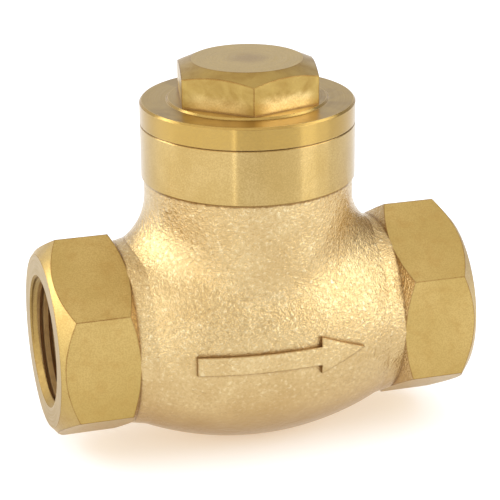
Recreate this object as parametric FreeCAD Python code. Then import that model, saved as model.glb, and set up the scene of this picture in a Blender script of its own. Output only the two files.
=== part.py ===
"""Horizontal lift check valve, 1 inch, in cast bronze, with female threaded hexagon ends.

Millimetres, +Z up. The origin is the centre of the inlet end face, and the flow runs along +X.
The body is a barrel-shaped casting with an S-shaped partition. A guided disc with a soft
facing drops on a screwed-in seat ring, and a hexagon-headed cap closes the neck above it.
Every shape below is drawn about the middle of the valve (X 0 on the axis of the cap) and
moved by half the length when it is exported.
"""

import FreeCAD
import Part
import math
import os

from FreeCAD import Vector

# Driving dimensions.
LENGTH = 108.0                  # face to face
HALF = LENGTH / 2
END_FLATS = 46.0                # across the flats of the end hexagons
BORE_DEPTH = 19.0               # of each threaded end, to the shoulder of the port
PORT_R = 12.75
WALL = 3.6

# G 1 pipe thread, 11 to the inch.
THREAD_R = 30.291 / 2           # minor radius, where the crests stand
THREAD_ROOT_R = 33.249 / 2
PITCH = 2.309
THREAD_LENGTH = 16.0
FLANK_ANGLE = 18.0              # of each side of the groove; steep, for broad crests
ROOT_FLAT = 0.3                 # width of the groove at its root
MOUTH_R = 16.75                 # the chamfer at the mouth starts here

# Barrel of the casting: an arc turned about the pipe axis.
BARREL_R = 30.3
BARREL_END_R = 21.0
BARREL_HALF = 36.0              # half length, where the radius is BARREL_END_R
COLLAR_X = (30.0, 34.7)         # the last of the casting is a cone, up to the hexagon
COLLAR_R = (23.95, 22.95)

# Neck and the machined ring that tops it.
NECK_R = 26.2
RING_R = 26.8
RING_LOW_Z = 38.9
RING_TOP_Z = 52.7
NECK_FILLET = 15.0
LIP_CHAMFER = 0.25
NECK_BORE_R = 21.25             # over the thread of the cap
CHAMBER_R = 20.4

# End hexagons: where each chamfer crosses the flats, and where it crosses the corners.
HEX_INNER_X = 33.4
HEX_BACK_X = (34.3, 36.6)
HEX_FRONT_X = (53.0, 49.9)

# Partition and seat.
PARTITION_HALF_T = 1.8
PARTITION_BEND_X = 16.8
PARTITION_ANGLE = 50.0          # of its slopes, from the horizontal
SEAT_BOSS_R = 17.2
SEAT_BOSS_Z = (-3.6, 2.2)
SEAT_R = 11.5                   # bore of the seat ring
SEAT_SCREW_R = 14.0             # its screwed skirt
SEAT_FLANGE_R = 16.0
SEAT_FLANGE_T = 2.0
SEAT_LIP_R = (11.5, 12.9)
SEAT_LIP_T = 1.0
SEAT_SLOT = (3.0, 1.6)          # width and depth of the two driver slots

# Disc and its guide stem.
LIFT = 7.0
FACING_R = 13.6
FACING_T = 3.0
HOLDER_R = 15.0
HOLDER_T = 5.5
HOLDER_LIP = 1.6                # depth of the recess that holds the facing
STEM_R = 6.0
STEM_LENGTH = 30.0
STUD_R = 4.0
STUD_LENGTH = 11.5
WASHER_R = 8.5
WASHER_T = 1.5
NUT_FLATS = 13.0
NUT_T = 5.0
SLIDE_GAP = 0.05                # radial clearance of the stem in its guide

# Cap.
FLANGE_TOP_Z = 58.4
PAD_R = 20.2
PAD_T = 0.5
CAP_FLATS = 33.5
CAP_TOP_Z = 68.5
CAP_TOP_R = 13.85               # flat circle on top of the hexagon
CAP_CORNER_Z = 65.95            # where the top chamfer meets the corners
CAP_HEX_TURN = 18.0             # a corner's angle from +X when the cap is tight
SPIGOT_R = 21.2
SPIGOT_LOW_Z = 41.5
GUIDE_R = 10.5
GUIDE_LOW_Z = 31.5
STOP_GAP = 0.05                 # left above the stem when the disc is fully lifted
VENT_R = 1.0                    # groove that vents the blind end of the guide

# Gasket, in a recess round the mouth of the neck.
GASKET_R = (21.5, 24.0)
GASKET_T = 1.5

# Closing spring, round the guide boss and down to the disc.
SPRING_R = 8.0
WIRE_R = 0.4
SPRING_TURNS = 6.0

# Cast flow arrow, one on each side.
ARROW_LENGTH = 43.0
ARROW_HEIGHT = 9.6
ARROW_HEAD = 12.0
ARROW_SHAFT = 4.8
ARROW_PROUD = 1.0

X = Vector(1, 0, 0)
Z = Vector(0, 0, 1)
O = Vector(0, 0, 0)

SEAT_FLANGE_LOW_Z = SEAT_BOSS_Z[1]
SEAT_Z = SEAT_FLANGE_LOW_Z + SEAT_FLANGE_T + SEAT_LIP_T
HOLDER_LOW_Z = SEAT_Z + FACING_T - HOLDER_LIP
HOLDER_TOP_Z = HOLDER_LOW_Z + HOLDER_T
GUIDE_TOP_Z = HOLDER_TOP_Z + STEM_LENGTH + LIFT + STOP_GAP


def corner_radius(flats):
    return flats / 2 / math.cos(math.pi / 6)


def cylinder_z(r, low, high, x=0.0, y=0.0):
    return Part.makeCylinder(r, high - low, Vector(x, y, low), Z)


def tube_z(r_in, r_out, low, high):
    return cylinder_z(r_out, low, high).cut(cylinder_z(r_in, low - 1, high + 1))


def cylinder_x(r, start, end):
    return Part.makeCylinder(r, end - start, Vector(start, 0, 0), X)


def box(x0, x1, y0, y1, z0, z1):
    return Part.makeBox(x1 - x0, y1 - y0, z1 - z0, Vector(x0, y0, z0))


def polygon_prism(points, direction):
    return Part.Face(Part.makePolygon(points + points[:1])).extrude(direction)


def turned(points, axis):
    """A solid of revolution from its outline in the XZ plane."""
    outline = [Vector(x, 0, z) for x, z in points]
    return Part.Face(Part.makePolygon(outline + outline[:1])).revolve(O, axis, 360)


def hexagon_z(flats, low, high, turn=0.0):
    r = corner_radius(flats)
    points = []
    for k in range(6):
        angle = math.radians(turn + 60 * k)
        points.append(Vector(r * math.cos(angle), r * math.sin(angle), low))
    return polygon_prism(points, Vector(0, 0, high - low))


def mirrored(shape):
    """The same shape at the other end of the pipe axis."""
    return shape.mirror(O, X)


def barrel(grow=0.0, half=BARREL_HALF):
    """The barrel of the casting, or the same barrel grown evenly by a thickness."""
    sagitta = BARREL_R - BARREL_END_R
    radius = (BARREL_HALF ** 2 + sagitta ** 2) / (2 * sagitta)
    centre_z = BARREL_R - radius
    end_z = centre_z + math.sqrt((radius + grow) ** 2 - half ** 2)
    left, right = Vector(-half, 0, end_z), Vector(half, 0, end_z)
    arc = Part.Arc(left, Vector(0, 0, BARREL_R + grow), right).toShape()
    sides = Part.makePolygon([right, Vector(half, 0, 0), Vector(-half, 0, 0), left])
    outline = Part.Wire([arc] + sides.Edges)
    return Part.Face(outline).revolve(O, X, 360)


def end_hexagon():
    """The right-hand end: a hexagon with a corner up, chamfered at both ends."""
    corner, flat = corner_radius(END_FLATS), END_FLATS / 2
    points = []
    for k in range(6):
        angle = k * math.pi / 3
        points.append(Vector(HEX_INNER_X, corner * math.sin(angle), corner * math.cos(angle)))
    prism = polygon_prism(points, Vector(HALF - HEX_INNER_X, 0, 0))
    back_slope = (corner - flat) / (HEX_BACK_X[1] - HEX_BACK_X[0])
    front_slope = (corner - flat) / (HEX_FRONT_X[0] - HEX_FRONT_X[1])
    envelope = turned([
        (HEX_INNER_X, 0),
        (HEX_INNER_X, flat - back_slope * (HEX_BACK_X[0] - HEX_INNER_X)),
        (HEX_BACK_X[1] + 1, corner + back_slope),
        (HEX_FRONT_X[1] - 1, corner + front_slope),
        (HALF, flat - front_slope * (HALF - HEX_FRONT_X[0])),
        (HALF, 0),
    ], X)
    return prism.common(envelope)


def thread_groove():
    """The helical groove of the right-hand end, running out through the mouth."""
    inner_r = THREAD_R - 0.2
    half_root = ROOT_FLAT / 2
    half_mouth = half_root + (THREAD_ROOT_R - inner_r) * math.tan(math.radians(FLANK_ANGLE))
    profile = Part.makePolygon([
        Vector(inner_r, 0, -half_mouth), Vector(THREAD_ROOT_R, 0, -half_root),
        Vector(THREAD_ROOT_R, 0, half_root), Vector(inner_r, 0, half_mouth),
        Vector(inner_r, 0, -half_mouth),
    ])
    helix = Part.makeLongHelix(PITCH, THREAD_LENGTH + PITCH, inner_r)
    groove = Part.Wire(helix).makePipeShell([profile], True, True)
    groove.rotate(O, Vector(0, 1, 0), 90)
    groove.translate(Vector(HALF - THREAD_LENGTH, 0, 0))
    return groove


def pipe_thread():
    """What the right-hand end loses to its thread: bore, mouth chamfer and groove."""
    bore = cylinder_x(THREAD_R, HALF - BORE_DEPTH, HALF + 1)
    depth = MOUTH_R - THREAD_R
    mouth = turned([
        (HALF - depth, 0), (HALF - depth, THREAD_R),
        (HALF + 1, MOUTH_R + 1), (HALF + 1, 0),
    ], X)
    return bore, mouth, thread_groove()


def flow_arrow(side):
    """A raised arrow that points along +X and follows the barrel; side is -1 or +1."""
    tail, tip = -ARROW_LENGTH / 2, ARROW_LENGTH / 2
    neck, half, shaft = tip - ARROW_HEAD, ARROW_HEIGHT / 2, ARROW_SHAFT / 2
    outline = [
        (tail, -shaft), (neck, -shaft), (neck, -half), (tip, 0),
        (neck, half), (neck, shaft), (tail, shaft),
    ]
    points = [Vector(x, side * (NECK_R - 4.0), z) for x, z in outline]
    prism = polygon_prism(points, Vector(0, side * 12.0, 0))
    return prism.common(barrel(ARROW_PROUD))


def casting():
    """Barrel and neck, blended."""
    core = barrel().fuse(cylinder_z(NECK_R, 0, RING_LOW_Z)).removeSplitter()
    return core.makeFillet(NECK_FILLET, [e for e in core.Edges if is_neck_seam(e)])


def collar():
    """Cone that carries the right-hand side of the barrel up to the hexagon."""
    (start, end), (r_start, r_end) = COLLAR_X, COLLAR_R
    return turned([(start, 0), (start, r_start), (end, r_end), (end, 0)], X)


def is_neck_seam(edge):
    """True for the edge along which the neck meets the barrel."""
    mid = edge.valueAt((edge.FirstParameter + edge.LastParameter) / 2)
    on_neck = abs(math.hypot(mid.x, mid.y) - NECK_R) < 0.01
    return on_neck and 1 < mid.z < RING_LOW_Z - 1 and edge.BoundBox.XLength > 20


def partition():
    """The S-shaped wall between inlet and outlet, with the boss for the seat ring."""
    t, bend = PARTITION_HALF_T, PARTITION_BEND_X
    rise = math.tan(math.radians(PARTITION_ANGLE))
    thick = 2 * t / math.cos(math.radians(PARTITION_ANGLE))
    high = t + (BARREL_HALF - bend) * rise
    low_bend = bend + (thick - 2 * t) / rise
    half = [(-BARREL_HALF, high), (-bend, t), (low_bend, t), (BARREL_HALF, thick - high)]
    points = [Vector(x, -BARREL_R, z) for x, z in half]
    points += [Vector(-x, -BARREL_R, -z) for x, z in half]
    wall = polygon_prism(points, Vector(0, 2 * BARREL_R, 0))
    return wall.fuse(cylinder_z(SEAT_BOSS_R, *SEAT_BOSS_Z))


def cavity():
    """The open space inside the casting, with the partition standing in it."""
    space = barrel(-WALL, BARREL_HALF - WALL)
    space = space.fuse([
        cylinder_z(CHAMBER_R, 0, RING_LOW_Z + 2),
        cylinder_x(PORT_R, -HALF + BORE_DEPTH - 1, HALF - BORE_DEPTH + 1),
    ])
    return space.cut(partition())


def valve_body():
    ring = cylinder_z(RING_R, RING_LOW_Z, RING_TOP_Z)
    rims = [e for e in ring.Edges if e.BoundBox.ZLength < 0.01 and len(e.Vertexes) == 1]
    ring = ring.makeChamfer(LIP_CHAMFER, rims)
    end = end_hexagon().fuse(collar())
    body = casting().fuse([ring, end, mirrored(end), flow_arrow(-1), flow_arrow(1)])
    body = body.removeSplitter()
    recess_z = RING_TOP_Z - GASKET_T
    body = body.cut([
        cavity(),
        cylinder_z(NECK_BORE_R, RING_LOW_Z + 1, RING_TOP_Z + 1),
        cylinder_z(GASKET_R[1] + 0.05, recess_z, RING_TOP_Z + 1),
        cylinder_z(SEAT_SCREW_R + 0.02, SEAT_BOSS_Z[0] - 1, SEAT_BOSS_Z[1] + 1),
    ])
    for tool in pipe_thread():
        body = body.cut([tool, tool.rotated(O, Z, 180)])
    return body


def seat_ring():
    """Screwed-in ring: skirt in the boss, flange on top of it, raised lip for the disc."""
    lip_low = SEAT_Z - SEAT_LIP_T
    lip_in, lip_out = SEAT_LIP_R
    ring = turned([
        (lip_in, SEAT_BOSS_Z[0]), (SEAT_SCREW_R, SEAT_BOSS_Z[0]),
        (SEAT_SCREW_R, SEAT_FLANGE_LOW_Z), (SEAT_FLANGE_R, SEAT_FLANGE_LOW_Z),
        (SEAT_FLANGE_R, lip_low), (lip_out + 0.4, lip_low),
        (lip_out, SEAT_Z), (lip_in, SEAT_Z),
    ], Z)
    width, depth = SEAT_SLOT
    reach = SEAT_FLANGE_R + 1
    for x in (-reach, lip_out + 0.6):
        near, far = (x, -lip_out - 0.6) if x < 0 else (x, reach)
        ring = ring.cut(box(near, far, -width / 2, width / 2, lip_low - depth, lip_low + 1))
    return ring


def disc_holder():
    """Head that carries the facing, with the guide stem above it and a stud below."""
    low, top = HOLDER_LOW_Z, HOLDER_TOP_Z
    roof = low + HOLDER_LIP
    head = turned([
        (0, roof), (FACING_R + 0.02, roof), (FACING_R + 0.02, low), (HOLDER_R - 0.3, low),
        (HOLDER_R, low + 0.3), (HOLDER_R, top - 1), (HOLDER_R - 1, top),
        (STEM_R + 1, top), (STEM_R, top + 1),
        (STEM_R, top + STEM_LENGTH - 0.8), (STEM_R - 0.8, top + STEM_LENGTH),
        (0, top + STEM_LENGTH),
    ], Z)
    stud_low = roof - STUD_LENGTH
    stud = cylinder_z(STUD_R, stud_low, roof)
    tip = [e for e in stud.Edges if e.BoundBox.ZMax < stud_low + 0.01]
    return head.fuse(stud.makeChamfer(0.6, tip)).removeSplitter()


def seat_disc():
    return tube_z(STUD_R + 0.02, FACING_R, SEAT_Z, SEAT_Z + FACING_T)


def disc_washer():
    return tube_z(STUD_R + 0.04, WASHER_R, SEAT_Z - WASHER_T, SEAT_Z)


def disc_nut():
    top = SEAT_Z - WASHER_T
    low = top - NUT_T
    corner = corner_radius(NUT_FLATS)
    blank = hexagon_z(NUT_FLATS, low, top)
    envelope = turned([
        (0, low), (NUT_FLATS / 2 - 0.3, low), (corner + 0.1, low + 0.95),
        (corner + 0.1, top - 0.95), (NUT_FLATS / 2 - 0.3, top), (0, top),
    ], Z)
    return blank.common(envelope).cut(cylinder_z(STUD_R + 0.02, low - 1, top + 1))


def cap():
    """Hexagon head, flange, screwed spigot and the boss that guides the stem."""
    corner = corner_radius(CAP_FLATS)
    pad_z = FLANGE_TOP_Z + PAD_T
    head = hexagon_z(CAP_FLATS, FLANGE_TOP_Z, CAP_TOP_Z, CAP_HEX_TURN)
    head = head.common(turned([
        (0, FLANGE_TOP_Z), (corner + 1, FLANGE_TOP_Z), (corner + 1, CAP_CORNER_Z),
        (corner, CAP_CORNER_Z), (CAP_TOP_R, CAP_TOP_Z), (0, CAP_TOP_Z),
    ], Z))
    rim = LIP_CHAMFER
    blank = turned([
        (0, GUIDE_LOW_Z), (GUIDE_R, GUIDE_LOW_Z), (GUIDE_R, SPIGOT_LOW_Z + 1),
        (GUIDE_R + 1, SPIGOT_LOW_Z), (SPIGOT_R - 1, SPIGOT_LOW_Z),
        (SPIGOT_R, SPIGOT_LOW_Z + 1), (SPIGOT_R, RING_TOP_Z),
        (RING_R - rim, RING_TOP_Z), (RING_R, RING_TOP_Z + rim),
        (RING_R, FLANGE_TOP_Z - 2 * rim), (RING_R - 2 * rim, FLANGE_TOP_Z),
        (PAD_R, FLANGE_TOP_Z), (PAD_R - PAD_T, pad_z), (0, pad_z),
    ], Z)
    body = blank.fuse(head).removeSplitter()
    body = body.cut(cylinder_z(STEM_R + SLIDE_GAP, GUIDE_LOW_Z - 1, GUIDE_TOP_Z))
    return body.cut(cylinder_z(VENT_R, GUIDE_LOW_Z - 1, GUIDE_TOP_Z, 0, STEM_R))


def cap_gasket():
    return tube_z(GASKET_R[0], GASKET_R[1], RING_TOP_Z - GASKET_T, RING_TOP_Z)


def closing_spring():
    """Open coil with its end turns lying flat on the disc and on the guide boss."""
    low, high = HOLDER_TOP_Z + WIRE_R, GUIDE_LOW_Z - WIRE_R
    helix = Part.makeHelix((high - low) / SPRING_TURNS, high - low, SPRING_R)
    circle = Part.Wire([Part.makeCircle(WIRE_R, Vector(SPRING_R, 0, 0), Vector(0, 1, 0))])
    coil = Part.Wire(helix).makePipeShell([circle], True, True)
    coil.translate(Vector(0, 0, low))
    return coil


NODES = {
    "valve_body": valve_body,
    "seat_ring": seat_ring,
    "cap": cap,
    "cap_gasket": cap_gasket,
    "disc_holder": disc_holder,
    "seat_disc": seat_disc,
    "disc_washer": disc_washer,
    "disc_nut": disc_nut,
    "closing_spring": closing_spring,
}


def main():
    os.makedirs("parts", exist_ok=True)
    for name, make in NODES.items():
        shape = make()
        shape.translate(Vector(HALF, 0, 0))
        shape.exportStep("parts/" + name + ".step")
        print(name, shape.isValid(), len(shape.Solids), round(shape.Volume / 1000, 2), "cm3")


main()
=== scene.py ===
import bmesh
import bpy
import math
import numpy as np
from mathutils import Matrix, Vector


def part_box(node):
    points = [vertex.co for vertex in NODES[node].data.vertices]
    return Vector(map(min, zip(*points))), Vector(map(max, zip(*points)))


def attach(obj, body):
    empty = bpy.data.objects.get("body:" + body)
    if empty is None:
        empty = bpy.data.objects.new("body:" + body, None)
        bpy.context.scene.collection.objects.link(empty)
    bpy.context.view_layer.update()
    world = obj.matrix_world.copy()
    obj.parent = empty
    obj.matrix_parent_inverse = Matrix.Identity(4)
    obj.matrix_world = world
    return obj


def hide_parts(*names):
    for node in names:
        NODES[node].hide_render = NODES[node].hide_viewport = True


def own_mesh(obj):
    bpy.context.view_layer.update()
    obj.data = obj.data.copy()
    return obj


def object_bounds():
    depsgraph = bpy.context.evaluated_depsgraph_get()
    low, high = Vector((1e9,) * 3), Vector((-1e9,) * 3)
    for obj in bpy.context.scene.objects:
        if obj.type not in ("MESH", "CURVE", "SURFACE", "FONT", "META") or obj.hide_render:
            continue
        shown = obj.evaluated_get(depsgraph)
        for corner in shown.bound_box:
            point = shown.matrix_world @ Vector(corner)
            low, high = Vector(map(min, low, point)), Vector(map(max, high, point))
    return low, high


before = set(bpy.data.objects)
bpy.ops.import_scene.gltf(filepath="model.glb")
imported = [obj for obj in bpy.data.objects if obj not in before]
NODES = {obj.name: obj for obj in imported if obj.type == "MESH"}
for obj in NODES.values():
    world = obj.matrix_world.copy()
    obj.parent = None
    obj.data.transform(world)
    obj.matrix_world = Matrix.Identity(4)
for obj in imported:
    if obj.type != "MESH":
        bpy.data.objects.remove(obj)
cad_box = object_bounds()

MM = 0.001

# Main dimensions of the valve, in mm, as the CAD model has them.
HALF_LENGTH = 54.0
BARREL_R = 30.3
BARREL_END_R = 21.0         # radius of the barrel where it ends, BARREL_HALF from its middle
BARREL_HALF = 36.0
PORT_SHOULDER_X = 35.0      # where each threaded bore ends, from the middle of the valve
THREAD_R = 15.15            # of the thread's crests, rounded
HEX_INNER_X = 33.4          # inner end of each end hexagon, from the middle
RING_LOW_Z = 38.9
RING_TOP_Z = 52.7
NECK_BORE_R = 21.25
PAD_R = 20.2                # low pad on the flange, round the cap's hexagon
PAD_TOP_Z = 58.9
CAP_TOP_Z = 68.5
CAP_HEX_TURN = 18.0         # a corner's angle from +X, in degrees
SLACK = 0.05                # keeps a boundary clear of the faces that lie on it

CAP_X = HALF_LENGTH * MM    # the axis of the cap and the neck, in metres


def feed(tree, socket, value):
    """Links a node's output to the socket, or sets the socket to a number or a colour."""
    if isinstance(value, bpy.types.NodeSocket):
        tree.links.new(value, socket)
    else:
        socket.default_value = value


def math_node(tree, op, a, b):
    """One step of arithmetic on two inputs, each a number or a socket."""
    node = tree.nodes.new("ShaderNodeMath")
    node.operation = op
    feed(tree, node.inputs[0], a)
    feed(tree, node.inputs[1], b)
    return node.outputs[0]


class Shader:
    """A node material built up in short calls; inputs are numbers, colours or sockets."""

    def __init__(self, name):
        self.mat = bpy.data.materials.new(name)
        self.mat.use_nodes = True
        self.tree = self.mat.node_tree
        self.bsdf = self.tree.nodes["Principled BSDF"]

    def node(self, kind, inputs=(), out=0, **settings):
        n = self.tree.nodes.new(kind)
        for key, value in settings.items():
            setattr(n, key, value)
        for key, value in dict(inputs).items():
            feed(self.tree, n.inputs[key], value)
        return n.outputs[out]

    def math(self, op, a, b=0.0):
        return math_node(self.tree, op, a, b)

    def ramp(self, value, low, high, to_low=0.0, to_high=1.0):
        """A smooth step from to_low at low to to_high at high."""
        inputs = {"Value": value, "From Min": low, "From Max": high}
        inputs.update({"To Min": to_low, "To Max": to_high})
        return self.node("ShaderNodeMapRange", inputs, interpolation_type="SMOOTHSTEP")

    def place(self):
        """The point in the object's own frame, in metres."""
        return self.node("ShaderNodeTexCoord", out=3)

    def axis(self, k):
        """One coordinate of the point: 0 for x, 1 for y, 2 for z."""
        return self.node("ShaderNodeSeparateXYZ", {0: self.place()}, out=k)

    def stretched(self, vector, scale):
        return self.node("ShaderNodeMapping", {"Vector": vector, "Scale": scale})

    def noise(self, vector, scale, detail=3.0, rough=0.5, warp=0.0):
        inputs = {"Vector": vector, "Scale": scale, "Detail": detail}
        inputs.update({"Roughness": rough, "Distortion": warp})
        return self.node("ShaderNodeTexNoise", inputs)

    def mix(self, share, a, b):
        """Colour a where share is 0, colour b where it is 1."""
        n = self.tree.nodes.new("ShaderNodeMix")
        n.data_type = "RGBA"
        for k, value in ((0, share), (6, a), (7, b)):       # 6 and 7 are the colours
            feed(self.tree, n.inputs[k], value)
        return n.outputs[2]

    def bump(self, height, distance, strength=1.0, normal=None):
        inputs = {"Height": height, "Distance": distance, "Strength": strength}
        if normal is not None:
            inputs["Normal"] = normal
        return self.node("ShaderNodeBump", inputs)

    def rounded(self, radius):
        """The surface's normal with its sharp edges softened."""
        return self.node("ShaderNodeBevel", {"Radius": radius}, samples=4)

    def edges(self, radius, low=0.93, high=0.998):
        """1 along the sharp edges, 0 a little way from them."""
        true_normal = self.node("ShaderNodeNewGeometry", out=3)
        inputs = {0: self.rounded(radius), 1: true_normal}
        dot = self.node("ShaderNodeVectorMath", inputs, out=1, operation="DOT_PRODUCT")
        return self.ramp(dot, low, high, 1.0, 0.0)

    def both(self, a, b):
        """The product: where one mask is 0, so is the result."""
        return self.math("MULTIPLY", a, b)

    def finish(self, **sockets):
        """Fills the main shader's sockets, named with _ for a space, and returns the material."""
        for key, value in sockets.items():
            feed(self.tree, self.bsdf.inputs[key.replace("_", " ")], value)
        return self.mat


def rgb(r, g, b):
    """An opaque colour, in linear light."""
    return (r, g, b, 1.0)


def polar(s, centre_x=None):
    """Distance and angle about the cap's axis, or about the pipe's axis if no centre is given."""
    x, y, z = (s.axis(k) for k in range(3))
    if centre_x is None:
        a, b = y, z
    else:
        a, b = s.math("SUBTRACT", x, centre_x), y
    squares = s.math("ADD", s.math("MULTIPLY", a, a), s.math("MULTIPLY", b, b))
    return s.math("SQRT", squares), s.math("ARCTAN2", b, a)


def corner_shade(s, distance, low=0.35, high=0.95):
    """0 in the open, 1 deep in a corner, read from occlusion: the mask for painted shade."""
    n = s.tree.nodes.new("ShaderNodeAmbientOcclusion")
    n.samples = 8
    n.inputs["Distance"].default_value = distance
    return s.ramp(n.outputs["AO"], low, high, 1.0, 0.0)


# Materials.

SHADE_BROWN = rgb(0.22, 0.12, 0.04)    # painted shade in the corners and under the ring


def cast_skin():
    """Blasted casting: fine grain with painted glints; smoother under the belly, and darker there
    with painted shade.
    """
    s = Shader("cast_skin")
    p = s.place()
    z = s.axis(2)
    pebble = s.noise(p, 1150, 3.0, 0.6, 0.6)
    grit = s.noise(p, 2700, 2.0, 0.5)
    swell = s.noise(p, 170, 3.0, 0.55)
    grain = s.ramp(z, -24 * MM, -6 * MM, 0.22, 1.0)
    normal = s.bump(swell, 0.8 * MM, 0.35, s.rounded(0.45 * MM))
    normal = s.bump(pebble, 0.36 * MM, s.both(grain, 0.8), normal)
    normal = s.bump(grit, 0.11 * MM, s.both(grain, 0.8), normal)
    tone = s.noise(p, 60, 3.0, 0.6)
    base = s.mix(s.ramp(tone, 0.35, 0.7), rgb(0.502, 0.344, 0.150), rgb(0.578, 0.418, 0.200))
    pits = s.both(grain, s.ramp(pebble, 0.54, 0.36, 0.0, 0.38))
    base = s.mix(pits, base, rgb(0.418, 0.274, 0.103))
    # painted glints: pale specks on the grain that stand in for highlights
    painted_glints = s.both(grain, s.ramp(pebble, 0.56, 0.70, 0.0, 0.30))
    base = s.mix(painted_glints, base, rgb(0.83, 0.74, 0.49))
    # painted shade: darker towards the underside of the belly
    base = s.mix(s.ramp(z, -11 * MM, -25 * MM, 0.0, 0.85), base, rgb(0.365, 0.239, 0.099))
    # painted shadow: a thin brown line with a wavering edge just under the machined ring
    waver = s.both(s.math("SUBTRACT", s.noise(p, 900, 3.0, 0.7), 0.5), 1.2 * MM)
    ring_shadow_low = s.ramp(s.math("ADD", z, waver), (RING_LOW_Z - 0.75) * MM, (RING_LOW_Z - 0.35) * MM)
    ring_shadow_top = s.ramp(z, (RING_LOW_Z + 0.1) * MM, (RING_LOW_Z + SLACK) * MM)
    base = s.mix(s.both(s.both(ring_shadow_low, ring_shadow_top), 0.9), base, SHADE_BROWN)
    # painted shade: brown along sharp edges and joins, round the raised letters and where the
    # casting meets the hexagons
    base = s.mix(s.both(s.edges(0.6 * MM, 0.970, 0.9985), 0.65), base, rgb(0.270, 0.145, 0.045))
    # painted shade in the corners
    base = s.mix(corner_shade(s, 1.5 * MM, 0.4, 1.0), base, rgb(0.244, 0.128, 0.041))
    rough = s.ramp(grit, 0.3, 0.7, 0.17, 0.27)
    return s.finish(Base_Color=base, Metallic=1.0, Roughness=rough, Normal=normal)


def milled():
    """Hexagon flats and chamfers of the ends, browned along their edges."""
    s = Shader("milled_bronze")
    p = s.place()
    streak = s.noise(s.stretched(p, (0.3, 1, 1)), 1500, 3.0, 0.6)
    speckle = s.noise(p, 2600, 2.0, 0.6)
    mottle = s.noise(p, 260, 4.0, 0.65)
    cloud = s.noise(p, 50, 2.0, 0.5)
    normal = s.bump(speckle, 0.07 * MM, 0.8, s.rounded(0.35 * MM))
    base = s.mix(s.ramp(cloud, 0.3, 0.7), rgb(0.440, 0.296, 0.091), rgb(0.508, 0.349, 0.120))
    base = s.mix(s.ramp(mottle, 0.46, 0.70, 0.0, 0.5), base, rgb(0.409, 0.244, 0.069))
    base = s.mix(s.ramp(speckle, 0.40, 0.58, 0.38, 0.0), base, rgb(0.331, 0.205, 0.06))
    z = s.axis(2)
    # painted shade: darker towards the bottom, where the lower flats face the shaded floor
    base = s.mix(s.ramp(z, -3 * MM, -14 * MM, 0.0, 0.30), base, rgb(0.34, 0.215, 0.055))
    worn = s.both(s.edges(0.50 * MM, 0.982, 0.9995), s.ramp(mottle, 0.35, 0.60, 0.6, 1.0))
    base = s.mix(worn, base, rgb(0.2, 0.094, 0.023))
    # painted shade in the corners
    base = s.mix(corner_shade(s, 1.0 * MM), base, SHADE_BROWN)
    r, _ = polar(s)
    mouth = s.ramp(r, 18.2 * MM, 17.6 * MM)     # the chamfer at the mouth is duller, and darker with painted shade
    base = s.mix(s.both(mouth, 0.6), base, rgb(0.23, 0.145, 0.045))
    rough = s.math("ADD", s.ramp(streak, 0.3, 0.7, 0.33, 0.43), s.both(mouth, 0.22))
    return s.finish(Base_Color=base, Metallic=1.0, Roughness=rough, Normal=normal)


def turning_marks(s, across, angle, scale):
    """Noise drawn out along the angle into fine lines, which lie side by side along across."""
    lines = {0: s.both(across, 6.0), 1: s.both(angle, 0.002)}
    return s.noise(s.node("ShaderNodeCombineXYZ", lines), scale, 3.0, 0.7)


def turned_wall():
    """Turned metal with its fine lines running round a wall; the flange is a warmer yellow."""
    s = Shader("turned_wall")
    p = s.place()
    z = s.axis(2)
    _, angle = polar(s, CAP_X)
    cut = turning_marks(s, z, angle, 700)
    speckle = s.noise(p, 2400, 2.0, 0.6)
    cloud = s.noise(p, 80, 3.0, 0.55)
    normal = s.bump(cut, 0.02 * MM, 0.15, s.rounded(0.2 * MM))
    base = s.mix(s.ramp(cloud, 0.35, 0.7), rgb(0.44, 0.295, 0.102), rgb(0.50, 0.348, 0.136))
    flange = s.ramp(z, (RING_TOP_Z + 0.1) * MM, (RING_TOP_Z + 0.5) * MM)
    base = s.mix(s.both(flange, 0.80), base, rgb(0.415, 0.258, 0.062))
    base = s.mix(s.ramp(speckle, 0.42, 0.62, 0.38, 0.0), base, rgb(0.348, 0.222, 0.069))
    base = s.mix(s.both(s.edges(0.22 * MM), 0.45), base, rgb(0.296, 0.171, 0.052))
    # painted shade in the corners
    base = s.mix(corner_shade(s, 0.8 * MM), base, SHADE_BROWN)
    rough = s.ramp(cut, 0.3, 0.7, 0.220, 0.245)
    tangent = s.node("ShaderNodeTangent", direction_type="RADIAL", axis="Z")
    return s.finish(Base_Color=base, Metallic=1.0, Roughness=rough, Normal=normal,
                    Anisotropic=1.0, Anisotropic_Rotation=0.25, Tangent=tangent)


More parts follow.
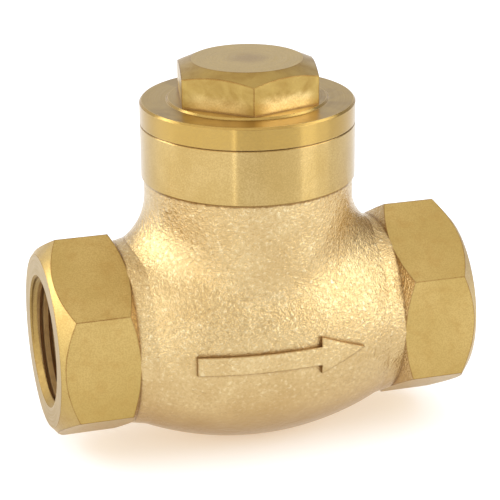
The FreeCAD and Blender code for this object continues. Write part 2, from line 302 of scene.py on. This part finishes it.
def turned_face():
    """Turned metal with its lines in rings, tarnished in patches and towards the middle."""
    s = Shader("turned_face")
    p = s.place()
    z = s.axis(2)
    r, angle = polar(s, CAP_X)
    cut = turning_marks(s, r, angle, 500)
    speckle = s.noise(p, 2200, 2.0, 0.6)
    patches = s.ramp(s.noise(p, 75, 3.0, 0.6, 0.6), 0.42, 0.66)
    normal = s.bump(cut, 0.02 * MM, 0.25, s.rounded(0.2 * MM))
    base = s.mix(patches, rgb(0.375, 0.245, 0.058), rgb(0.270, 0.165, 0.036))
    y = s.axis(1)
    top = s.ramp(z, (CAP_TOP_Z - 1.5) * MM, (CAP_TOP_Z - 0.5) * MM, 0.0, 0.7)
    base = s.mix(top, base, rgb(0.500, 0.348, 0.104))
    # painted reflection of the cap's hexagon: the flange's front, outside the pad, an even gold
    front = s.both(s.ramp(y, -17 * MM, -22 * MM), s.ramp(r, PAD_R * MM, (PAD_R + 0.4) * MM))
    base = s.mix(s.both(front, 0.8), base, rgb(0.365, 0.231, 0.06))
    middle = s.ramp(s.math("ADD", r, s.both(s.noise(p, 160, 3.0), 4 * MM)), 9 * MM, 3.5 * MM)
    base = s.mix(s.both(middle, 0.6), base, rgb(0.261, 0.15, 0.043))
    base = s.mix(s.ramp(speckle, 0.42, 0.62, 0.25, 0.0), base, rgb(0.261, 0.171, 0.069))
    base = s.mix(s.edges(0.35 * MM), base, rgb(0.644, 0.453, 0.172))
    # painted shade in the corners
    base = s.mix(corner_shade(s, 1.0 * MM), base, SHADE_BROWN)
    rough = s.ramp(cut, 0.3, 0.7, 0.30, 0.38)
    return s.finish(Base_Color=base, Metallic=1.0, Roughness=rough, Normal=normal)


def hexagon_head():
    """The flats and the top chamfer of the cap's hexagon: a pale painted reflection low down,
    brown at the edges.
    """
    s = Shader("cap_hexagon")
    p = s.place()
    z = s.axis(2)
    mottle = s.noise(p, 230, 4.0, 0.6, 0.5)
    speckle = s.noise(p, 2400, 2.0, 0.6)
    normal = s.bump(s.noise(p, 150, 2.0), 0.5 * MM, 0.4, s.rounded(0.3 * MM))
    normal = s.bump(speckle, 0.05 * MM, 0.6, normal)
    base = s.mix(s.ramp(mottle, 0.35, 0.7), rgb(0.400, 0.265, 0.074), rgb(0.310, 0.190, 0.048))
    height = s.math("ADD", z, s.both(s.math("SUBTRACT", mottle, 0.5), 4 * MM))
    low_down = s.ramp(height, 63.6 * MM, 60.8 * MM)
    _, angle = polar(s, CAP_X)
    turn = s.math("SUBTRACT", s.both(angle, 3.0), 3 * math.radians(CAP_HEX_TURN))
    corner = s.math("SINE", turn)               # 0 at every corner of the hexagon
    off_corner = s.ramp(s.math("ABSOLUTE", corner), 0.05, 0.75)
    facing = s.ramp(angle, math.radians(-112), math.radians(-95), 0.5, 1.0)
    # painted reflection: pale low on the flats, away from the corners, half as strong on the
    # flats to the front left
    pale = s.both(s.both(low_down, off_corner), facing)
    base = s.mix(pale, base, rgb(0.820, 0.600, 0.255))
    base = s.mix(s.ramp(speckle, 0.42, 0.62, 0.30, 0.0), base, rgb(0.348, 0.222, 0.069))
    worn = s.both(s.edges(0.60 * MM, 0.984, 0.9997), s.ramp(mottle, 0.3, 0.6, 0.6, 1.0))
    base = s.mix(worn, base, rgb(0.22, 0.11, 0.027))
    # painted shade in the corners
    base = s.mix(corner_shade(s, 1.0 * MM), base, SHADE_BROWN)
    rough = s.ramp(mottle, 0.3, 0.7, 0.28, 0.38)
    return s.finish(Base_Color=base, Metallic=1.0, Roughness=rough, Normal=normal)


def end_face():
    """The flat ring round each mouth, greyer than the rest and bright at its edges."""
    s = Shader("faced_end")
    p = s.place()
    r, angle = polar(s)
    cut = turning_marks(s, r, angle, 600)
    cloud = s.ramp(s.noise(p, 110, 4.0, 0.6), 0.35, 0.7)
    base = s.mix(cloud, rgb(0.290, 0.212, 0.100), rgb(0.340, 0.252, 0.125))
    base = s.mix(s.ramp(cut, 0.45, 0.7, 0.0, 0.2), base, rgb(0.34, 0.26, 0.12))
    base = s.mix(s.both(s.edges(0.45 * MM), 0.8), base, rgb(0.522, 0.385, 0.163))
    normal = s.bump(cut, 0.02 * MM, 0.3, s.rounded(0.4 * MM))
    rough = s.ramp(cut, 0.3, 0.7, 0.28, 0.40)
    return s.finish(Base_Color=base, Metallic=1.0, Roughness=rough, Normal=normal,
                    Specular_Tint=rgb(1.0, 0.90, 0.76))


def thread():
    """Dark thread with painted shade deeper in its roots and painted highlights along its crests.
    """
    s = Shader("cut_thread")
    p = s.place()
    r, _ = polar(s)
    # painted shade: darker deeper in the thread
    depth = s.ramp(r, (THREAD_R + SLACK) * MM, (THREAD_R + 0.65) * MM)
    base = s.mix(depth, rgb(0.52, 0.33, 0.13), rgb(0.32, 0.17, 0.065))
    base = s.mix(s.ramp(s.noise(p, 300, 3.0), 0.4, 0.7, 0.0, 0.5), base, rgb(0.32, 0.18, 0.07))
    # painted highlights along the crests
    crest_highlight = s.both(s.edges(0.12 * MM, 0.85, 0.98), s.math("SUBTRACT", 1.0, depth))
    base = s.mix(crest_highlight, base, rgb(0.72, 0.52, 0.22))
    return s.finish(Base_Color=base, Metallic=0.6, Roughness=0.35)


def inner_cast():
    """The unmachined inside of the casting."""
    s = Shader("inner_cast")
    p = s.place()
    pebble = s.noise(p, 700, 3.0, 0.6, 0.4)
    base = s.mix(s.ramp(pebble, 0.35, 0.7), rgb(0.40, 0.26, 0.11), rgb(0.56, 0.39, 0.18))
    normal = s.bump(pebble, 0.3 * MM, 0.7)
    return s.finish(Base_Color=base, Metallic=1.0, Roughness=0.5, Normal=normal)


def trim_metal():
    """Machined bronze of the seat ring, disc holder, washer and nut."""
    s = Shader("trim_metal")
    p = s.place()
    z = s.axis(2)
    r, angle = polar(s, CAP_X)
    cut = turning_marks(s, s.math("ADD", r, z), angle, 600)
    cloud = s.noise(p, 130, 3.0, 0.6)
    base = s.mix(s.ramp(cloud, 0.35, 0.7), rgb(0.60, 0.43, 0.17), rgb(0.70, 0.52, 0.24))
    base = s.mix(s.both(s.edges(0.2 * MM), 0.6), base, rgb(0.80, 0.64, 0.34))
    # painted shade in the corners
    base = s.mix(corner_shade(s, 0.7 * MM), base, SHADE_BROWN)
    normal = s.bump(cut, 0.02 * MM, 0.4, s.rounded(0.15 * MM))
    rough = s.ramp(cut, 0.3, 0.7, 0.24, 0.34)
    return s.finish(Base_Color=base, Metallic=1.0, Roughness=rough, Normal=normal)


def facing_material():
    """The soft facing: white plastic with faint turning rings and painted shade in its corners.
    """
    s = Shader("white_facing")
    p = s.place()
    r, angle = polar(s, CAP_X)
    rings = turning_marks(s, r, angle, 350)
    cloud = s.ramp(s.noise(p, 220, 4.0, 0.6), 0.4, 0.7)
    base = s.mix(cloud, rgb(0.80, 0.79, 0.75), rgb(0.70, 0.68, 0.63))
    # painted shade in the corners
    base = s.mix(corner_shade(s, 1.0 * MM), base, rgb(0.42, 0.38, 0.32))
    normal = s.bump(rings, 0.03 * MM, 0.4, s.rounded(0.2 * MM))
    rough = s.ramp(rings, 0.3, 0.7, 0.36, 0.50)
    return s.finish(Base_Color=base, Roughness=rough, Normal=normal, IOR=1.36)


def gasket_material():
    """Pressed fibre sheet: matt dark grey with short light fibres."""
    s = Shader("pressed_fibre")
    p = s.place()
    fibres = s.noise(s.stretched(p, (1, 0.25, 1)), 2200, 4.0, 0.7, 1.5)
    base = s.mix(s.ramp(fibres, 0.42, 0.68), rgb(0.13, 0.13, 0.14), rgb(0.24, 0.24, 0.25))
    normal = s.bump(fibres, 0.08 * MM, 0.7)
    rough = s.ramp(fibres, 0.3, 0.7, 0.72, 0.9)
    return s.finish(Base_Color=base, Roughness=rough, Normal=normal)


def spring_steel():
    """Drawn stainless wire with faint lengthwise marks."""
    s = Shader("spring_steel")
    p = s.place()
    z = s.axis(2)
    r, angle = polar(s, CAP_X)
    marks = turning_marks(s, s.math("ADD", r, z), angle, 900)
    cloud = s.ramp(s.noise(p, 260, 3.0), 0.4, 0.7)
    base = s.mix(cloud, rgb(0.50, 0.49, 0.47), rgb(0.62, 0.61, 0.59))
    # painted shade in the corners
    base = s.mix(corner_shade(s, 0.6 * MM), base, rgb(0.20, 0.18, 0.16))
    normal = s.bump(marks, 0.01 * MM, 0.4)
    rough = s.ramp(marks, 0.3, 0.7, 0.20, 0.32)
    return s.finish(Base_Color=base, Metallic=1.0, Roughness=rough, Normal=normal)


# Painting the CAD nodes.

def face_arrays(mesh):
    """The centre of each face, in mm, and its normal."""
    count = len(mesh.polygons)
    centre, normal = np.empty(count * 3), np.empty(count * 3)
    mesh.polygons.foreach_get("center", centre)
    mesh.polygons.foreach_get("normal", normal)
    return centre.reshape(-1, 3) / MM, normal.reshape(-1, 3)


def paint(node, materials, index):
    """Gives a node its materials, one index for each face."""
    mesh = NODES[node].data
    mesh.materials.clear()
    for m in materials:
        mesh.materials.append(m)
    mesh.polygons.foreach_set("material_index", index.astype(np.int32))
    mesh.update()


def shell_radius(x):
    """Outer radius of the barrel at a distance from its middle, in mm: an arc."""
    sagitta = BARREL_R - BARREL_END_R
    radius = (BARREL_HALF ** 2 + sagitta ** 2) / (2 * sagitta)
    return BARREL_R - radius + np.sqrt(np.maximum(radius ** 2 - x ** 2, 0))


def paint_body(wall_metal, face_metal):
    """Sorts the casting's faces by place and direction: grained skin, machined or inside."""
    c, n = face_arrays(NODES["valve_body"].data)
    along = c[:, 0] - HALF_LENGTH
    x, z = np.abs(along), c[:, 2]
    outward = n[:, 0] * np.sign(along)          # 1 where a face looks to the nearer end
    level = np.abs(n[:, 2]) > 0.9               # faces that look straight up or down
    pipe_r = np.hypot(c[:, 1], z)
    cap_r = np.hypot(along, c[:, 1])
    # Boundaries between the looks: distances from the middle, radii, a height and a depth.
    end_x, shoulder_x, hex_x = HALF_LENGTH - SLACK, PORT_SHOULDER_X - 0.1, HEX_INNER_X + 0.6
    barrel_x, mouth_x = 33.0, 52.3
    hex_r, bore_r, inside_r, neck_r = 20.5, 17.2, 20.0, 21.0
    seat_z, skin_depth = 5.0, 1.5
    skin, flats, wall, face, screw, inner, top = range(7)
    index = np.full(len(c), skin)
    index[(x > hex_x) & (pipe_r > hex_r) & (outward > -0.2)] = flats
    index[(x > end_x) & (outward > 0.99)] = face
    bore = (pipe_r < bore_r) & (x > shoulder_x) & (x < end_x)
    index[bore] = screw
    index[bore & (x > mouth_x)] = flats         # the chamfer at the mouth
    index[(x <= shoulder_x) & (pipe_r < inside_r)] = inner
    under_skin = (x < barrel_x) & (pipe_r < shell_radius(x) - skin_depth)
    index[under_skin & ((cap_r < neck_r) | (z < seat_z))] = inner
    ring = (z > RING_LOW_Z - 0.1) & (cap_r > neck_r)
    index[ring] = wall
    index[ring & level] = top
    index[(cap_r < NECK_BORE_R + 0.15) & (z > seat_z)] = inner
    paint("valve_body", [cast_skin(), milled(), wall_metal, end_face(), thread(),
                         inner_cast(), face_metal], index)


def paint_cap(wall_metal, face_metal):
    """Walls, level faces, and the hexagon's flats and chamfer."""
    c, n = face_arrays(NODES["cap"].data)
    cap_r = np.hypot(c[:, 0] - HALF_LENGTH, c[:, 1])
    crown_r = 12.0                              # just inside the flat circle on top
    wall, face, head = range(3)
    index = np.full(len(c), wall)
    index[np.abs(n[:, 2]) > 0.9] = face
    index[(c[:, 2] > PAD_TOP_Z + SLACK) & (cap_r > crown_r)] = head
    index[c[:, 2] > CAP_TOP_Z - 0.1] = face
    paint("cap", [wall_metal, face_metal, hexagon_head()], index)


def cover(material, *nodes):
    """Gives whole nodes one material."""
    for node in nodes:
        NODES[node].data.materials.clear()
        NODES[node].data.materials.append(material)


# The closing spring.

def coil_line(bottom, top, coil_r, wire_r):
    """Points along the middle of the wire: two lying turns with the active coils between."""
    lying, active = 0.9, 5.2                    # turns
    steps = 40                                  # points to a turn
    turns = 2 * lying + active
    settle = 2.05 * wire_r                      # rise of a turn that lies on the next
    ease = 0.08                                 # how softly the active coils begin and end
    count = int(turns * steps)
    points = []
    for k in range(count + 1):
        t = turns * k / count
        if t < lying:
            z = bottom + settle * t
        elif t > turns - lying:
            z = top - settle * (turns - t)
        else:
            share = (t - lying) / active
            share -= ease * math.sin(2 * math.pi * share)
            z = bottom + settle * lying + (top - bottom - 2 * settle * lying) * share
        a = 2 * math.pi * t
        points.append(Vector((CAP_X + coil_r * math.cos(a), coil_r * math.sin(a), z)))
    return points


def wire_mesh(name, points, wire_r, sides=12):
    """A round wire along the points of a coil about the cap's axis, closed at both ends."""
    verts, faces = [], []
    last = len(points) - 1
    for k, point in enumerate(points):
        ahead = points[min(k + 1, last)] - points[max(k - 1, 0)]
        out = Vector((point.x - CAP_X, point.y, 0)).normalized()
        side = ahead.normalized().cross(out).normalized()
        for j in range(sides):
            b = 2 * math.pi * j / sides
            verts.append(point + wire_r * (out * math.cos(b) + side * math.sin(b)))
    for k in range(last):
        for j in range(sides):
            a, b = k * sides + j, k * sides + (j + 1) % sides
            faces.append((a, b, b + sides, a + sides))
    faces.append(tuple(range(sides))[::-1])
    faces.append(tuple(last * sides + j for j in range(sides)))
    mesh = bpy.data.meshes.new(name)
    mesh.from_pydata(verts, [], faces)
    bm = bmesh.new()
    bm.from_mesh(mesh)
    bmesh.ops.recalc_face_normals(bm, faces=bm.faces)
    bm.to_mesh(mesh)
    bm.free()
    for polygon in mesh.polygons:
        polygon.use_smooth = len(polygon.vertices) == 4
    return mesh


def spring_piece():
    """The closing spring with closed ends."""
    low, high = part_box("closing_spring")
    wire_r, coil_r = 0.4 * MM, 8.0 * MM
    points = coil_line(low.z + wire_r, high.z - wire_r, coil_r, wire_r)
    mesh = wire_mesh("coil_spring", points, wire_r)
    mesh.materials.append(spring_steel())
    spring = bpy.data.objects.new("coil_spring", mesh)
    bpy.context.scene.collection.objects.link(spring)
    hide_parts("closing_spring")
    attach(spring, "housing")
    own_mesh(spring)


# Floor, lights and camera.

def stage_floor():
    """A plain pale floor under the valve; its own light keeps the shadow faint."""
    mesh = bpy.data.meshes.new("floor")
    half, z = 3.0, cad_box[0].z
    corners = [(-half, -half, z), (half, -half, z), (half, half, z), (-half, half, z)]
    mesh.from_pydata(corners, [], [(0, 1, 2, 3)])
    floor = bpy.data.objects.new("floor", mesh)
    bpy.context.scene.collection.objects.link(floor)
    s = Shader("floor")
    mesh.materials.append(s.finish(Base_Color=rgb(0.47, 0.60, 0.74), Roughness=0.9,
                                   Emission_Color=rgb(1.0, 0.73, 0.47), Emission_Strength=0.63))


# What the camera sees: angles in degrees, lengths in mm.
VIEW_AZIMUTH = -16.83       # from the front of the valve, + to its outlet end
VIEW_ELEVATION = 20.29
VIEW_ROLL = -0.49
VIEW_DISTANCE = 500.74
VIEW_TARGET = (HALF_LENGTH + 0.38, 0.0, 18.06)
LENS, SENSOR = 141.51, 36.0

LIGHT_TARGET = (HALF_LENGTH, 0.0, 18.0)
PANEL = (0.94, 1.0, 1.08)   # cool white of the soft boxes


def towards(azimuth, elevation):
    """A direction from the valve; azimuth 0 is where the camera looks from, + to its right."""
    a, e = math.radians(azimuth + VIEW_AZIMUTH), math.radians(elevation)
    return Vector((math.sin(a) * math.cos(e), -math.cos(a) * math.cos(e), math.sin(e)))


def softbox(name, azimuth, elevation, width, height, radiance, distance=1.0):
    """A soft box aimed at the valve, of even brightness; its width and height are in degrees."""
    data = bpy.data.lights.new(name, "AREA")
    data.shape = "RECTANGLE"
    data.size = 2 * distance * math.tan(math.radians(width / 2))
    data.size_y = 2 * distance * math.tan(math.radians(height / 2))
    data.energy = radiance * math.pi * data.size * data.size_y
    data.color = PANEL
    lamp = bpy.data.objects.new(name, data)
    bpy.context.scene.collection.objects.link(lamp)
    back = towards(azimuth, elevation)
    lamp.location = Vector(LIGHT_TARGET) * MM + back * distance
    lamp.rotation_mode = "QUATERNION"
    lamp.rotation_quaternion = back.to_track_quat("Z", "Y")


def studio_world(base, lobes):
    """An even white world with a few broad brighter or darker directions.

    A lobe is its azimuth, its elevation, the power that narrows it, and its brightness.
    """
    world = bpy.data.worlds.new("studio")
    bpy.context.scene.world = world
    world.use_nodes = True
    tree = world.node_tree
    direction = tree.nodes.new("ShaderNodeTexCoord").outputs["Generated"]
    total = base
    for azimuth, elevation, power, brightness in lobes:
        dot = tree.nodes.new("ShaderNodeVectorMath")
        dot.operation = "DOT_PRODUCT"
        dot.inputs[1].default_value = towards(azimuth, elevation)
        tree.links.new(direction, dot.inputs[0])
        facing = math_node(tree, "MAXIMUM", dot.outputs["Value"], 0.0)
        lobe = math_node(tree, "POWER", facing, power)
        total = math_node(tree, "ADD", math_node(tree, "MULTIPLY", lobe, brightness), total)
    background = tree.nodes["Background"]
    background.inputs["Color"].default_value = rgb(1, 1, 1)
    tree.links.new(total, background.inputs["Strength"])


def camera():
    """A long lens that looks down a little on the front of the valve and on its inlet."""
    back = towards(0, VIEW_ELEVATION)
    right = (-back).cross(Vector((0, 0, 1))).normalized()
    up = right.cross(-back)
    roll = math.radians(VIEW_ROLL)
    right, up = (
        right * math.cos(roll) + up * math.sin(roll),
        up * math.cos(roll) - right * math.sin(roll),
    )
    data = bpy.data.cameras.new("camera")
    data.lens, data.sensor_width = LENS, SENSOR
    cam = bpy.data.objects.new("camera", data)
    bpy.context.scene.collection.objects.link(cam)
    place = Matrix((right, up, back)).transposed().to_4x4()
    place.translation = (Vector(VIEW_TARGET) + back * VIEW_DISTANCE) * MM
    cam.matrix_world = place
    bpy.context.scene.camera = cam


wall_metal, face_metal = turned_wall(), turned_face()
paint_body(wall_metal, face_metal)
paint_cap(wall_metal, face_metal)
cover(trim_metal(), "seat_ring", "disc_holder", "disc_washer", "disc_nut")
cover(facing_material(), "seat_disc")
cover(gasket_material(), "cap_gasket")
spring_piece()

stage_floor()
studio_world(0.71, [
    (-80, 10, 2.0, 0.52),       # the left
    (180, 25, 3.0, 0.35),       # the back
    (0, 75, 3.0, 0.70),         # overhead
    (125, 5, 4.0, -0.35),       # darker behind, on the right
])
softbox("left_box", azimuth=-51, elevation=15, width=74, height=60, radiance=1.22)
softbox("left_edge", azimuth=-13.4, elevation=8, width=1.6, height=24, radiance=10.0)
softbox("right_front", azimuth=36, elevation=15, width=38, height=60, radiance=0.35)
softbox("right_box", azimuth=66, elevation=18, width=20, height=60, radiance=3.3)
softbox("right_wing", azimuth=84, elevation=10, width=16, height=40, radiance=1.7)
softbox("far_right_box", azimuth=100, elevation=38, width=30, height=30, radiance=2.4)
softbox("key", azimuth=-101, elevation=26, width=25, height=30, radiance=5.3)
camera()
bpy.context.scene.view_settings.view_transform = "Standard"
